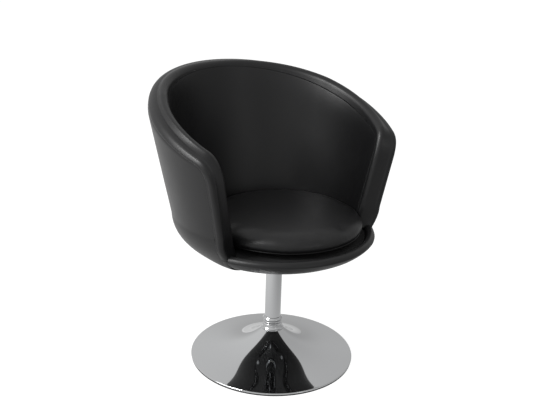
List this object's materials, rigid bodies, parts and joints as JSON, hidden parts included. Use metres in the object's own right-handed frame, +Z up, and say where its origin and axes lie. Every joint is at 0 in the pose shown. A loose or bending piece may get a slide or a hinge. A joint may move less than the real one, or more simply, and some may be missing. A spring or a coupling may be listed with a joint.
{
  "type": "pedestal swivel armchair",
  "caption": "Upholstered tub armchair with a round loose cushion, turning on a chromed column and a trumpet-shaped foot.",
  "frame": {"origin": "on the floor under the column's axis", "axes": "+Z up along the column, -Y towards the front, where the sitter's legs go, and +X to the sitter's left"},
  "size_m": [0.6496, 0.6062, 0.774],
  "materials": {
    "floor_rubber": "matt",
    "cast_weight": "rough",
    "chrome": "polished",
    "turned_steel": "turned",
    "zinc_steel": "zinc plated",
    "nylon": "moulded",
    "acetal": "moulded",
    "black_paint": "satin",
    "plywood": "sanded",
    "wadding": "soft",
    "foam": "soft",
    "black_leather": "satin",
    "black_cloth": "matt",
    "nylon_hooks": "matt"
  },
  "bodies": {
    "base": {"floor_mat": "floor_rubber", "weight_plate": "cast_weight", "foot_trumpet": "chrome", "neck_collar": "chrome", "column_tube": "chrome", "column_plug": "turned_steel", "clamp_bolt": "zinc_steel", "clamp_washer": "zinc_steel", "spring_washer": "zinc_steel", "lower_bush": "nylon", "upper_bush": "nylon", "thrust_washer": "acetal"},
    "seat": {"spindle": "turned_steel", "retaining_ring": "turned_steel", "seat_plate": "black_paint", "plate_bolts": "zinc_steel", "plate_washers": "zinc_steel", "tee_nuts": "zinc_steel", "packing_disc": "plywood", "seat_board": "plywood", "shell": "plywood", "outer_wadding": "wadding", "wall_padding": "foam", "rim_roll": "foam", "outer_cover": "black_leather", "inner_cover": "black_leather", "rim_band": "black_leather", "lip_padding": "foam", "lip_cover": "black_leather", "deck_pad": "foam", "deck_cover": "black_cloth", "hook_pads": "nylon_hooks", "loop_pads": "black_cloth", "cushion_core": "foam", "seat_cushion": "black_leather", "dust_cover": "black_cloth", "cover_staples": "zinc_steel"}
  },
  "joints": [
    {"name": "seat_swivel", "type": "hinge", "parent": "base", "child": "seat", "pos_m": [0, 0, 0.29], "axis": [0, 0, 1], "continuous": true}
  ]
}
